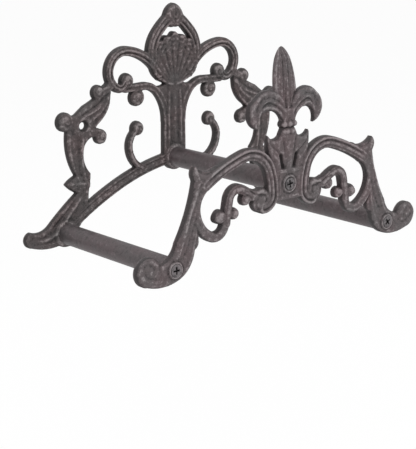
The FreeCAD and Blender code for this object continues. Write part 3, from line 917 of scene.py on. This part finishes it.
@dataclass
class FrontPlate(Casting):
    """The front casting: two large scrolls on curled feet, and a fleur-de-lis over the middle pad."""

    node: str = "front_plate"
    slot: str = "cast_iron_front"
    fold: float = CAST_FOLD
    back_face: float = -170.0
    half_width: float = 183.0
    bottom: float = 78.0
    top: float = 250.0
    step: float = 0.66
    petal_root: float = 208.0
    petal_tip: float = 282.0
    petal_half: float = 14.0
    petal_neck: float = 7.2
    petal_widest: float = 0.46
    petal_middle: float = 2.6
    petal_lean: float = 7.4
    sweep: float = 3.4
    sweep_start: float = 8.0
    sweep_run: float = 36.0
    sweep_foot: float = 203.5
    sweep_fade: float = 4.0
    holes: tuple[Hole, ...] = (
        Hole(SIDE_SEAT, SEAT_HOLE, boss=8.2),
        Hole(MIDDLE_SEAT, SEAT_HOLE, boss=9.0),
    )

    def forms(self) -> list:
        """The right half's forms, and those that stand on the mirror line."""
        return [
            Band(
                (31, 135), (25, 135), ((20, 146), (23.5, 168), (57, 186), (101.5, 166)),
                12.8, 11.4, edge=Edge.BEADED,
            ),
            Band(
                (101.5, 166), (106.53, 162.73), ((112.6, 140), (94.5, 117), (79, 131)),
                11.4, 9.2, 7.0, 3.6, Edge.PLAIN,
            ),
            Band((77.5, 127), (76.5, 136), ((74, 149), (60, 156.5), (46, 148)), 9.0, 9.5, edge=Edge.GROOVED),
            Ball((33.6, 142), 12.0, turn=-1.0, begin=2.4, swirl=1.1),
            Blade((46, 155), (((38, 153), (33, 154)), (30, 146), (44, 142)), 7.2, 4.0, 3.0),
            Ball((53.5, 146), 6.2, begin=3.0),
            Ball((67.8, 134.6), 5.8, turn=-1.0, begin=0.5),
            Ball((84.5, 134), 6.8, begin=2.8),
            Band((88, 133), (84, 133.6), ((66, 135.4),), 8.0, 6.4, 7.2, 3.4, Edge.PLAIN),
            Blade(
                (86, 183),
                (((101, 178.8), (113.8, 185.4)), ((117.2, 180), (115.2, 172)), (103, 158), (94, 172)),
                6.8, 4.4, 3.2,
            ),
            Blade(
                (101, 172),
                ((115, 173), ((121.8, 147), (135.5, 118)), ((143.5, 105.5), (154, 101)), (168, 82.9),
                 ((151, 79.8), (135, 82.5)), ((121, 92), (114, 110)), (108.6, 138),
                 ((107.6, 152), (101, 163))),
                6.4, 3.6, 3.4, 0.3,
            ),
            Ball((167, 96.6), 13.8, 7.8, 4.0, turn=1.0, begin=3.4, swirl=0.0),
            Blade(
                (115, 130),
                ((109.4, 124), (109.2, 116), ((110.4, 111), (114.6, 108)), (120, 110)),
                5.6, 3.4, 2.4,
            ),
            Blade(
                (4, 181.5),
                ((11.6, 181.5), (8.0, 166), (19, 166), ((26, 187), (26.5, 203)), ((19, 197.5), (9, 203))),
                6.4, 3.8, 3.4, 0.6,
            ),
            Blade(
                (3, 222),
                (((18, 243), (39.5, 236.5)), ((47.4, 223), (35, 207.5)), ((31, 222), (22, 224)),
                 ((13, 221), (8, 210)), (3, 210)),
                5.4, 2.8, 3.4, 0.5,
            ),
            Blade((-4, 138.5), ((17.6, 138.5), (17.6, 168.5), (-4, 168.5)), 7.2, 5.0, 1.4),
            Blade(
                (-4, 164),
                ((4.2, 164), (10.2, 188), (10.4, 202), (6.4, 209), (-4, 209)),
                6.2, 3.8, 3.2, 1.4,
            ),
            Band((-4, 203.6), (0, 203.6), ((5.6, 203.6),), 5.4, height=7.2, wall=4.0, edge=Edge.PLAIN),
            Band((-4, 210.4), (0, 210.4), ((6.4, 210.4),), 6.0, height=7.4, wall=4.0, edge=Edge.PLAIN),
            Ball((3.0, 203.6), 3.0, 8.2, 4.4, swirl=0.0),
            Ball((0, 210.4), 3.4, 8.4, 4.4, swirl=0.0),
            Ball((6.6, 210.4), 3.3, 8.2, 4.0, swirl=0.0),
            Blade((-4, 208), ((8, 208), (7, 226), (-4, 226)), 6.4, 3.8, 3.0),
        ]

    def lines(self) -> list[Crease]:
        """Arm ridge, foot spiral, leaf veins and pad bevels."""
        return [
            Crease((109, 172), (113, 162), ((130, 116), (140, 101)), 1.3, 0.9, 0.05),
            Crease((113, 170), (116, 160), ((134, 116), (146, 101.5)), 1.2, -0.4, 0.05),
            Crease((112, 146), (114, 138), ((124, 113), (131, 104)), 1.5, -0.6),
            Crease((113, 128), (114, 122), ((118.5, 107), (127, 90)), 1.1, 0.5),
            Crease((150, 88), (160, 84.5), ((178, 96), (166, 108), (157, 99)), 1.7, 0.45, 0.05),
            Crease((158, 91), (165, 89.5), ((173, 97), (166, 103), (161.5, 98)), 1.5, -0.6, 0.1),
            Crease((164.5, 97), (166, 98), ((168, 97.5),), 2.0, 0.8, 0.3),
            Crease((30, 152), (36, 152), ((46, 147),), 1.2, 0.9),
            Crease((28, 147), (38, 147), ((48, 152), (60, 152.5)), 0.9, -0.8),
            Crease((93, 178), (102, 173.5), ((112.5, 183),), 1.7, -1.3),
            Crease((106, 168), (111, 172), ((112.5, 182),), 1.0, 0.7),
            Crease((6, 212), (11, 224), ((22, 227.6), (34, 214)), 1.0, 1.0, 0.06),
            Crease((5, 217), (11, 228), ((22, 231.5), (32, 222)), 0.9, -0.9),
            Crease((4, 221), (11, 230), ((22, 233.6), (31, 228)), 0.8, 0.5),
            Crease((4, 224), (11, 232.6), ((21, 236.6), (29, 234.4)), 0.8, -0.5),
            Crease((22, 241), (33, 241), ((43, 228), (36, 210)), 3.4, 1.3, 0.3),
            Crease((30, 239), (36, 234), ((38, 223),), 2.4, -0.9, 0.2),
            Crease((7, 180), (12, 184), ((20, 190), (24.5, 200)), 1.1, -1.1),
            Crease((12, 176), (18, 180), ((23, 188),), 1.0, 0.6),
            Crease((0, 166), (0, 180), ((0, 201),), 1.8, 0.9),
            Crease((3, 168), (4.6, 176), ((8.5, 201),), 1.0, -0.6),
            Crease((-4, 207.1), (0, 207.1), ((10, 207.1),), 0.7, -0.5, 0.02),
            Crease((3, 165.5), (8, 165.5), ((12.6, 165.5),), 0.8, 0.6),
            Crease((3, 141.5), (8, 141.5), ((12.6, 141.5),), 0.8, 0.6),
            Crease((12.4, 143), (12.4, 150), ((12.4, 164),), 0.8, 0.5),
        ]

    def set_back(self, across: Array, up: Array) -> Array:
        """The side petals sweep back towards their outer ends, above the leaves beside the vase."""
        outward = np.clip((across - self.sweep_start) / self.sweep_run, 0.0, 1.0)
        return self.sweep * outward * smooth_step((up - self.sweep_foot) / self.sweep_fade)

    def surface(self) -> Surface:
        """The plate with its middle petal."""
        return super().surface().joined(self.petal())

    def petal_width(self, share: Array) -> Array:
        """The middle petal's half width: a sine that swells from the neck, then an ellipse to the tip.

        Args:
            share: Share of the petal's length, from its root.

        Returns:
            The half width.
        """
        widest = self.petal_widest
        past = np.clip(1.0 - ((share - widest) / (1.0 - widest)) ** 2, 0.0, 1.0)
        swell = np.sin(np.clip(share / widest, 0.0, 1.0) * math.pi / 2.0) ** 1.2
        below = self.petal_neck + (self.petal_half - self.petal_neck) * swell
        return np.where(share < widest, below, self.petal_half * np.sqrt(past) ** 1.15)

    def petal(self, rows: int = 120, columns: int = 132) -> Surface:
        """The middle petal of the fleur-de-lis, which leans back to the wall.

        The surface goes once round the petal for each height: half the round is its front and half its back.
        The front is a low roof with a bead inside each edge and flame-like flutes between, and the back is
        slightly hollow. The first row and the last draw together to close the ends. Every point then turns
        back about the root line by the lean.

        Args:
            rows: Points along the length.
            columns: Points round each row.

        Returns:
            The closed surface.
        """
        line = np.concatenate(([0.0], np.linspace(0.0, 1.0, rows - 1)))
        share, turn = np.meshgrid(line, np.arange(columns) / columns, indexing="ij")
        open_row = (np.arange(rows) > 0)[:, None]
        half = self.petal_width(share)
        length = self.petal_tip - self.petal_root
        angle = FULL_TURN * turn
        side = np.cos(angle)
        front = np.sin(angle) > 0.0
        edge = np.sqrt(np.abs(np.sin(angle)))
        flame = side * math.pi * (1.0 - 0.2 * share)
        flute = 0.65 * np.cos(4.4 * flame) + 0.6 * np.cos(9.7 * flame + 2.6 * np.sin(7.0 * share))
        flute = flute * np.clip(1.15 - np.abs(side), 0.0, 1.0)
        slope = np.clip((1.0 - share) * 7.0, 0.0, 1.0) * np.clip(half / 6.0, 0.0, 1.0)
        face = 3.0 + 1.4 * (1.0 - np.abs(side)) + 0.85 * flute + 0.9 * bump(np.abs(side) - 0.86, 0.1)
        hollow = self.petal_middle - 0.5 * (1.0 - side**2)
        hollow = hollow + 0.08 * grain(half * side, share * length, 9.0)
        depth = self.petal_middle + np.where(front, face, -hollow) * edge * slope * open_row
        lean = math.radians(self.petal_lean)
        up = share * length * 1.005
        across = half * side * open_row
        raised = self.petal_root + up * math.cos(lean)
        forward = self.back_face - depth + up * math.sin(lean)
        points = np.stack((across, forward, raised - HOLE_LINE), axis=-1).reshape(-1, 3) * MM
        # Flute crests and the bead inside each edge are painted lighter as a painted highlight, and flute
        # troughs darker as painted shade; the back keeps the coat.
        worn_and_lit = np.where(front, 0.55 * flute + 0.8 * bump(np.abs(side) - 0.84, 0.1), 0.0)
        return Surface(points, grid_quads(rows, columns, True), worn_and_lit.ravel())


@dataclass
class Bar(Piece):
    """A round spacer bar between two plates."""

    slot: str = "bar_iron"
    fold: float = TURNED_FOLD
    sides: int = 96
    round_over: float = 0.6
    bore: float = 3.06
    bore_depth: float = 21.0
    stations: int = 24
    end_run: float = 8.0
    unevenness: float = 0.05

    def surface(self) -> Surface:
        """The bar turned about its own axis, in its node's box.

        The profile is a bore for the screw, a flat end, a small round, the side, and the same again at the
        other end. The side is out of round by a wave of three humps that turns over along the bar.

        Returns:
            The closed surface.
        """
        low, high = (np.array(corner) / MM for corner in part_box(self.node))
        radius = (high[0] - low[0]) / 2.0
        centre = (low + high) / 2.0
        edge = self.round_over
        inner = low[1] + np.array((self.bore_depth, self.bore_depth, 0.0, 0.0, edge))
        side = np.linspace(low[1] + self.end_run, high[1] - self.end_run, self.stations)
        depth = np.concatenate((inner, side, (low[1] + high[1] - inner)[::-1]))
        end = np.array((0.0, self.bore, self.bore, radius - edge, radius))
        spread = np.concatenate((end, np.full(self.stations, radius), end[::-1]))
        turn = FULL_TURN * np.arange(self.sides) / self.sides
        wobble = self.unevenness * np.sin(3.0 * turn)[None] * np.sin(depth / 21.0)[:, None]
        ring = spread[:, None] + np.where(spread > self.bore, 1.0, 0.0)[:, None] * wobble
        points = np.stack(
            (centre[0] + ring * np.cos(turn), np.broadcast_to(depth[:, None], ring.shape),
             centre[2] + ring * np.sin(turn)), axis=-1,
        ).reshape(-1, 3) * MM
        wear_and_light = np.repeat(np.where(spread > radius - 0.1, 0.0, 0.1), self.sides)
        return Surface(points, grid_quads(len(depth), self.sides, True), wear_and_light)


@dataclass(kw_only=True)
class Screws(Piece):
    """A group of countersunk screws with a cross recess, all driven the same way."""

    slot: str = "screw_steel"
    fold: float = TURNED_FOLD
    face: float
    into: float
    places: tuple[Point, ...] = (MIDDLE_SEAT, (-SIDE_SEAT[0], SIDE_SEAT[1]), SIDE_SEAT)
    rolls: tuple[float, ...] = (0.15, 0.02, 0.62)
    head: float = 5.95
    dome: float = 0.3
    rim: float = 0.6
    cone: float = 3.2
    shank: float = 2.95
    length: float = 27.9
    tip: float = 0.8
    tip_loss: float = 0.6
    recess: float = 3.7
    recess_core: float = 1.15
    recess_depth: float = 2.0
    arm: float = 0.72
    rings: int = 40
    sides: int = 96

    def one(self, place: Point, roll: float) -> Surface:
        """One screw as a polar grid from the middle of its head to the middle of its tip.

        The head's face is a low dome. The recess is sunk where a point lies within half an arm's width of
        the middle line of either arm and inside the recess's reach, with a soft wall. Behind the head the
        radius follows the cone, the shank and a chamfered tip.

        Args:
            place: Where it stands, across and up.
            roll: How far the cross is turned, in radians.

        Returns:
            The closed surface.
        """
        face = np.linspace(0.0, 1.0, self.rings) * self.head
        behind = (self.head, self.shank, self.shank, self.shank - self.tip_loss, 0.0)
        spread = np.concatenate((face, behind))
        base = np.concatenate((
            self.dome * (face / self.head) ** 2,
            (self.rim, self.cone, self.length - self.tip, self.length, self.length),
        ))
        turn = FULL_TURN * np.arange(self.sides) / self.sides
        ring = np.broadcast_to(spread[:, None], (len(spread), self.sides))
        across, up = ring * np.cos(turn), ring * np.sin(turn)
        reach = np.maximum(np.abs(across), np.abs(up))
        aside = np.minimum(np.abs(across), np.abs(up))
        sunk = np.clip((self.arm - aside) / 0.22 + 0.5, 0.0, 1.0)
        sunk = np.maximum(sunk, np.clip((self.recess_core - ring) / 0.25, 0.0, 1.0))
        sunk = sunk * np.clip((self.recess - reach) / 0.35, 0.0, 1.0)
        on_face = (np.arange(len(spread)) < len(face))[:, None]
        depth = base[:, None] + np.where(on_face, self.recess_depth * sunk, 0.0)
        depth = depth + np.where(on_face, 0.12 * bump(ring - 4.6, 0.35), 0.0)
        cosine, sine = math.cos(roll), math.sin(roll)
        x = place[0] + across * cosine - up * sine
        z = place[1] - HOLE_LINE + across * sine + up * cosine
        points = np.stack((x, self.face + self.into * depth, z), axis=-1).reshape(-1, 3) * MM
        quads = grid_quads(len(spread), self.sides, True)
        if self.into < 0.0:
            quads = quads[:, ::-1]
        # The cross recess is painted near black as painted shade; the head's face is set lighter than the
        # shank.
        wear_and_light = np.where(on_face, 0.45 - 1.2 * sunk, -0.2) * np.ones_like(ring)
        return Surface(points, quads, wear_and_light.ravel())

    def surface(self) -> Surface:
        """All screws of the group, each turned differently."""
        first, *others = (self.one(place, roll) for place, roll in zip(self.places, self.rolls))
        for other in others:
            first = first.joined(other)
        return first


class ShaderTree:
    """The nodes of a material or of the world, with short ways to add the kinds that are used here."""

    def __init__(self, owner: bpy.types.Material | bpy.types.World) -> None:
        """Turns the owner's nodes on."""
        owner.use_nodes = True
        self.nodes = owner.node_tree.nodes
        self.join = owner.node_tree.links.new

    def noise(self, spot: Socket, scale: float, detail: float, rough: float) -> Socket:
        """Adds a noise texture.

        Args:
            spot: The coordinates that it reads.
            scale: Its fineness.
            detail: How many finer layers it has.
            rough: How strong those layers are.

        Returns:
            The noise, from 0 to 1.
        """
        node = self.nodes.new("ShaderNodeTexNoise")
        node.inputs["Scale"].default_value = scale
        node.inputs["Detail"].default_value = detail
        node.inputs["Roughness"].default_value = rough
        self.join(spot, node.inputs["Vector"])
        return node.outputs["Fac"]

    def maths(self, kind: str, *values: Socket | float) -> Socket:
        """Adds a calculation.

        Args:
            kind: The operation.
            values: What it works on, sockets or plain numbers.

        Returns:
            The result.
        """
        node = self.nodes.new("ShaderNodeMath")
        node.operation = kind
        for socket, value in zip(node.inputs, values):
            if isinstance(value, (int, float)):
                socket.default_value = value
            else:
                self.join(value, socket)
        return node.outputs["Value"]

    def ramp(self, value: Socket, stops: tuple[tuple[float, Colour], ...]) -> Socket:
        """Adds a colour that goes from stop to stop.

        Args:
            value: What sets the place between the stops.
            stops: Place and colour of each stop.

        Returns:
            The colour.
        """
        node = self.nodes.new("ShaderNodeValToRGB")
        while len(node.color_ramp.elements) < len(stops):
            node.color_ramp.elements.new(0.5)
        for element, (place, colour) in zip(node.color_ramp.elements, stops):
            element.position = place
            element.color = (*colour, 1.0)
        self.join(value, node.inputs["Fac"])
        return node.outputs["Color"]

    def white_to_eye(self) -> Socket:
        """1 for rays from the camera and for glossy and transmitted ones, 0 for the rest."""
        path = self.nodes.new("ShaderNodeLightPath")
        total = path.outputs["Is Camera Ray"]
        for name in ("Is Glossy Ray", "Is Transmission Ray"):
            total = self.maths("MAXIMUM", total, path.outputs[name])
        return total

    def end_in_mix(self, share: Socket, lit: Socket, seen: Socket, end: str) -> None:
        """Ends the tree in a mix of two shaders.

        Args:
            share: How much of the second shader shows, from 0 to 1.
            lit: The shader that gives light.
            seen: The shader that is seen.
            end: The name of the tree's output node.
        """
        mix = self.nodes.new("ShaderNodeMixShader")
        for source, socket in zip((share, lit, seen), mix.inputs):
            self.join(source, socket)
        self.join(mix.outputs["Shader"], self.nodes[end].inputs["Surface"])


@dataclass(frozen=True)
class CastFinish:
    """Sand-cast iron with a thin dark coat, lighter on its ridges as rubbed wear with a painted highlight,
    and darker in its hollows as painted shade.
    """

    name: str
    # The hollow colour is painted shade for hollows and recesses; the ridge colour is rubbed wear with a
    # painted highlight.
    hollow: Colour
    coat: Colour
    worn_and_lit: Colour
    roughness: float
    metallic: float
    sand: float
    contrast: float = 1.0
    sand_depth: float = 0.0007

    def material(self) -> bpy.types.Material:
        """The node material.

        The colour goes from the painted shade of the hollows through the coat to the rubbed ridge colour with
        its painted highlight, by the wear and painted light attribute plus a little noise, with slow brown
        and grey patches over it. Two sizes of noise make the sand bump.

        Returns:
            The material.
        """
        material = bpy.data.materials.new(self.name)
        tree = ShaderTree(material)
        shader = tree.nodes["Principled BSDF"]
        shader.inputs["Metallic"].default_value = self.metallic
        spot = tree.nodes.new("ShaderNodeTexCoord").outputs["Object"]
        fine = tree.noise(spot, scale=900.0, detail=4.0, rough=0.6)
        middle = tree.noise(spot, scale=260.0, detail=3.0, rough=0.55)
        slow = tree.noise(spot, scale=38.0, detail=3.0, rough=0.5)
        attribute = tree.nodes.new("ShaderNodeAttribute")
        attribute.attribute_name = WEAR_AND_LIGHT
        level = tree.maths("MULTIPLY_ADD", attribute.outputs["Fac"], 0.42 * self.contrast, 0.5)
        for source, share in ((middle, 1.15), (fine, 0.8), (slow, 0.3)):
            level = tree.maths("MULTIPLY_ADD", tree.maths("SUBTRACT", source, 0.5), share, level)
        # Low values take the painted shade colour of the hollows, high ones the rubbed ridge colour with its
        # painted highlight.
        stops = ((0.18, self.hollow), (0.46, self.coat), (0.62, self.coat), (0.88, self.worn_and_lit))
        patches = tree.nodes.new("ShaderNodeHueSaturation")
        tree.join(tree.maths("MULTIPLY_ADD", slow, 2.2, -0.1), patches.inputs["Saturation"])
        tree.join(tree.ramp(level, stops), patches.inputs["Color"])
        tree.join(patches.outputs["Color"], shader.inputs["Base Color"])
        gloss = tree.maths("MULTIPLY_ADD", tree.maths("SUBTRACT", middle, 0.5), 0.35, self.roughness)
        tree.join(gloss, shader.inputs["Roughness"])
        height = tree.maths("MULTIPLY_ADD", middle, 1.4, tree.maths("MULTIPLY", fine, 0.7))
        raised = tree.nodes.new("ShaderNodeBump")
        raised.inputs["Strength"].default_value = self.sand
        raised.inputs["Distance"].default_value = self.sand_depth
        tree.join(height, raised.inputs["Height"])
        tree.join(raised.outputs["Normal"], shader.inputs["Normal"])
        return material


# Each finish: hollow colour as painted shade, coat colour, and ridge colour as rubbed wear with a painted
# highlight; the screws' near-black hollow colour is painted shade in the cross recess.
FINISHES = {
    "cast_iron": CastFinish(
        "wall_plate_iron", (0.018, 0.0136, 0.0138), (0.07, 0.0552, 0.0554), (0.24, 0.207, 0.208),
        roughness=0.6, metallic=0.12, sand=0.9,
    ),
    "cast_iron_front": CastFinish(
        "front_plate_iron", (0.029, 0.0222, 0.0232), (0.0935, 0.0742, 0.0768), (0.24, 0.21, 0.214),
        roughness=0.62, metallic=0.12, sand=0.9,
    ),
    "bar_iron": CastFinish(
        "bar_iron", (0.03, 0.024, 0.025), (0.08, 0.064, 0.067), (0.16, 0.14, 0.143),
        roughness=0.5, metallic=0.2, sand=0.3,
    ),
    "screw_steel": CastFinish(
        "screw_steel", (0.008, 0.008, 0.009), (0.06, 0.052, 0.055), (0.165, 0.148, 0.153),
        roughness=0.45, metallic=0.4, sand=0.2, contrast=1.6,
    ),
}


@dataclass
class Studio:
    """Pale floor, soft lamps, white surroundings and the camera of the photograph."""

    floor_level: float = -0.46
    floor_half: float = 9.0
    floor_points: int = 25
    floor_glow: float = 0.92
    surround: float = 0.72
    lamp_target: Place = (0.0, -0.08, -0.02)
    top_target: Place = (0.0, -0.08, 0.0)
    place: Place = (-0.8648, -1.0789, 0.2332)
    target: Place = (-0.0212, -0.08845, -0.098)
    lens: float = 108.6
    sensor: float = 36.0
    shift: float = -0.0076

    def build(self) -> None:
        """Makes the floor, the world, the lamps and the camera."""
        bpy.context.scene.view_settings.view_transform = "Standard"
        self.floor()
        self.world()
        self.lamp("key_lamp", (-1.3, -1.5, 1.9), self.lamp_target, size=1.5, power=26.0)
        self.lamp("fill_lamp", (1.9, -1.3, 0.7), self.lamp_target, size=1.6, power=9.0)
        self.lamp("top_lamp", (0.1, 0.5, 2.1), self.top_target, size=1.3, power=12.0)
        self.camera()

    def floor(self) -> None:
        """A flat, pale floor well under the hanger, which nearly glows white to the eye."""
        line = np.linspace(-self.floor_half, self.floor_half, self.floor_points)
        x, y = np.meshgrid(line, line, indexing="ij")
        points = np.stack((x, y, np.full_like(x, self.floor_level)), axis=-1).reshape(-1, 3)
        quads = grid_quads(self.floor_points, self.floor_points, False)
        plane = Surface(points, quads, np.zeros(len(points))).piece("floor", TURNED_FOLD)
        material = bpy.data.materials.new("pale_floor")
        tree = ShaderTree(material)
        shader = tree.nodes["Principled BSDF"]
        shader.inputs["Base Color"].default_value = (0.9, 0.9, 0.9, 1.0)
        shader.inputs["Roughness"].default_value = 0.9
        shader.inputs["Specular IOR Level"].default_value = 0.1
        seen = tree.nodes.new("ShaderNodeEmission").outputs["Emission"]
        share = tree.maths("MULTIPLY", tree.white_to_eye(), self.floor_glow)
        tree.end_in_mix(share, shader.outputs["BSDF"], seen, "Material Output")
        plane.data.materials.append(material)

    def world(self) -> None:
        """White surroundings: strength 1 to the eye, a plain level as light."""
        world = bpy.data.worlds.new("studio")
        bpy.context.scene.world = world
        tree = ShaderTree(world)
        light = tree.nodes["Background"]
        seen = tree.nodes.new("ShaderNodeBackground")
        for node, strength in ((light, self.surround), (seen, 1.0)):
            node.inputs["Color"].default_value = (1.0, 1.0, 1.0, 1.0)
            node.inputs["Strength"].default_value = strength
        tree.end_in_mix(
            tree.white_to_eye(), light.outputs["Background"], seen.outputs["Background"], "World Output"
        )

    def aimed(self, data: bpy.types.ID, place: Place, target: Place) -> bpy.types.Object:
        """Sets a lamp or a camera up at a place, looking at a point.

        Args:
            data: The lamp or the camera.
            place: Where it stands, in metres.
            target: The point that it looks at.

        Returns:
            The object, with the name of its data.
        """
        thing = bpy.data.objects.new(data.name, data)
        thing.location = place
        thing.rotation_euler = (Vector(target) - Vector(place)).to_track_quat("-Z", "Y").to_euler()
        bpy.context.scene.collection.objects.link(thing)
        return thing

    def lamp(self, name: str, place: Place, target: Place, size: float, power: float) -> None:
        """A square soft lamp that looks at a point.

        Args:
            name: The lamp's name.
            place: Where it stands, in metres.
            target: The point that it looks at.
            size: Length of its side.
            power: Its watts.
        """
        data = bpy.data.lights.new(name, "AREA")
        data.size = size
        data.energy = power
        self.aimed(data, place, target)

    def camera(self) -> None:
        """The camera that took the photograph."""
        data = bpy.data.cameras.new("camera")
        data.lens = self.lens
        data.sensor_width = self.sensor
        data.shift_x = self.shift
        bpy.context.scene.camera = self.aimed(data, self.place, self.target)


def main() -> None:
    """Builds every piece in order, dresses it and sets the studio round it."""
    logging.basicConfig(level=logging.INFO, format="%(name)s %(message)s")
    materials = {slot: finish.material() for slot, finish in FINISHES.items()}
    pieces = (
        BackPlate(),
        FrontPlate(),
        Bar("top_bar"),
        Bar("left_bar"),
        Bar("right_bar"),
        Screws("front_screws", face=-178.3, into=1.0),
        Screws("rear_screws", face=0.0, into=-1.0),
    )
    for piece in pieces:
        piece.dress(materials)
    Studio().build()


if __name__ == "__main__":
    main()
